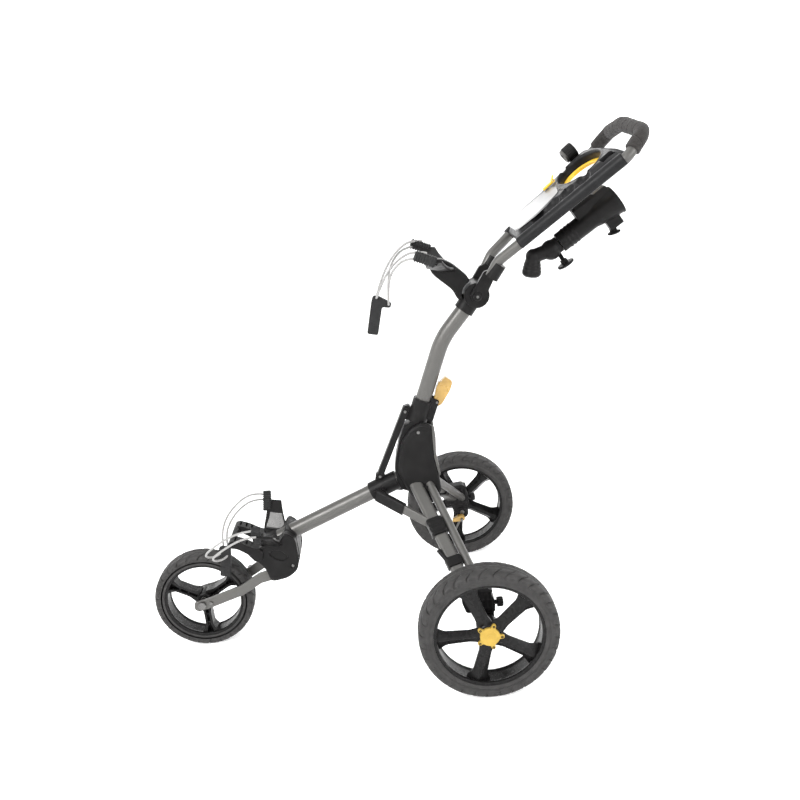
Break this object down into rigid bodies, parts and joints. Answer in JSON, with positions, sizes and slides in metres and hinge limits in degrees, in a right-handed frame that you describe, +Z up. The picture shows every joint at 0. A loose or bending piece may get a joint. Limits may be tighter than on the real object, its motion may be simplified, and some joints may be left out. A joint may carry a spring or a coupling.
{
  "type": "golf push trolley",
  "caption": "Folding golf push trolley with a bent mast, splayed rear legs, bag brackets with elastic loops, tray console, loop grip and umbrella socket.",
  "frame": {"origin": "middle of the bounding box at ground level", "axes": "+X to the right-hand side, +Y forward to the front wheel, +Z up"},
  "size_m": [0.7186, 1.1941, 1.1223],
  "materials": {
    "frame_grey": "satin metallic",
    "black_plastic": "fine grain",
    "deck_plastic": "fine grain",
    "tyre": "moulded tread",
    "rim_black": "semi gloss",
    "gold": "satin",
    "amber": "translucent look",
    "yellow": "gloss",
    "steel": "zinc plated",
    "foam": "foam grip",
    "rubber": "moulded",
    "cord": "woven sheath",
    "clear": "frosted clear",
    "bush": "acetal"
  },
  "bodies": {
    "frame": {"axle_block_left": "black_plastic", "axle_block_right": "black_plastic", "base_tube": "frame_grey", "frame_fasteners": "steel", "hub_core": "black_plastic", "hub_shell_left": "black_plastic", "hub_shell_right": "black_plastic", "latch_collar": "black_plastic", "leg_braces": "black_plastic", "leg_front_left": "frame_grey", "leg_front_right": "frame_grey", "leg_rear_left": "frame_grey", "leg_rear_right": "frame_grey", "link_bar": "black_plastic", "lower_cord_a": "cord", "lower_cord_b": "cord", "lower_cord_tab": "rubber", "lower_shell_left": "black_plastic", "lower_shell_right": "black_plastic", "mast_tube": "frame_grey", "release_knobs": "frame_grey", "rubber_pads": "rubber", "slide_collar": "black_plastic", "strut_sockets": "black_plastic", "struts": "frame_grey", "top_collar": "black_plastic", "upper_bracket": "black_plastic", "upper_cord_a": "cord", "upper_cord_b": "cord", "upper_cord_tab": "rubber"},
    "front_wheel": {"front_tyre": "tyre", "front_rim": "rim_black", "front_bushes": "bush"},
    "rear_wheel_left": {"rear_tyre_left": "tyre", "rear_rim_left": "rim_black", "rear_bushes_left": "bush", "hub_cap_left": "gold"},
    "rear_wheel_right": {"rear_tyre_right": "tyre", "rear_rim_right": "rim_black", "rear_bushes_right": "bush", "hub_cap_right": "gold"},
    "fork": {"fork_bars": "frame_grey", "fork_fasteners": "steel", "tracking_knob": "black_plastic"},
    "handle": {"tilt_discs": "black_plastic", "clevis_arms": "black_plastic", "tilt_bolt": "steel", "handle_tube": "frame_grey", "handle_grip": "foam", "console_tray": "deck_plastic", "cup_ring": "yellow", "scorecard_panel": "clear", "accessory_drum": "black_plastic", "umbrella_barrel": "black_plastic"},
    "latch": {"latch_lever": "amber"},
    "brake": {"brake_pedal": "yellow"},
    "swivel": {"umbrella_elbow": "black_plastic"},
    "swivel_knob": {"elbow_knob": "black_plastic"},
    "socket_knob": {"barrel_knob": "black_plastic"},
    "clip": {"scorecard_clip": "yellow"}
  },
  "joints": [
    {"name": "rear_wheel_left_spin", "type": "hinge", "parent": "frame", "child": "rear_wheel_left", "pos_m": [-0.33, -0.1752, 0.146], "axis": [1, 0, 0], "continuous": true},
    {"name": "rear_wheel_right_spin", "type": "hinge", "parent": "frame", "child": "rear_wheel_right", "pos_m": [0.33, -0.1752, 0.146], "axis": [1, 0, 0], "continuous": true},
    {"name": "fork_fold", "type": "hinge", "parent": "frame", "child": "fork", "pos_m": [0, 0.2663, 0.186], "axis": [-1, 0, 0], "range_deg": [0, 130]},
    {"name": "front_wheel_spin", "type": "hinge", "parent": "fork", "child": "front_wheel", "pos_m": [0, 0.4786, 0.1196], "axis": [1, 0, 0], "continuous": true},
    {"name": "handle_tilt", "type": "hinge", "parent": "frame", "child": "handle", "pos_m": [0, -0.2372, 0.786], "axis": [1, 0, 0], "range_deg": [-30, 30]},
    {"name": "latch_release", "type": "hinge", "parent": "frame", "child": "latch", "pos_m": [0, -0.1282, 0.5485], "axis": [1, 0, 0], "range_deg": [0, 40]},
    {"name": "brake_press", "type": "hinge", "parent": "frame", "child": "brake", "pos_m": [0.25, -0.1712, 0.1335], "axis": [-1, 0, 0], "range_deg": [0, 25]},
    {"name": "umbrella_swivel", "type": "hinge", "parent": "handle", "child": "swivel", "pos_m": [-0.03, -0.4232, 0.8775], "axis": [0, -0.8461, 0.533], "range_deg": [-60, 60]},
    {"name": "swivel_knob_turn", "type": "hinge", "parent": "swivel", "child": "swivel_knob", "pos_m": [-0.03, -0.4198, 0.8589], "axis": [0, -0.4801, -0.8772], "continuous": true},
    {"name": "socket_knob_turn", "type": "hinge", "parent": "handle", "child": "socket_knob", "pos_m": [-0.03, -0.5347, 0.913], "axis": [0, -0.2599, -0.9656], "continuous": true},
    {"name": "clip_lift", "type": "hinge", "parent": "handle", "child": "clip", "pos_m": [0.058, -0.43299, 1.0038], "axis": [1, 0, 0], "range_deg": [0, 50]}
  ]
}
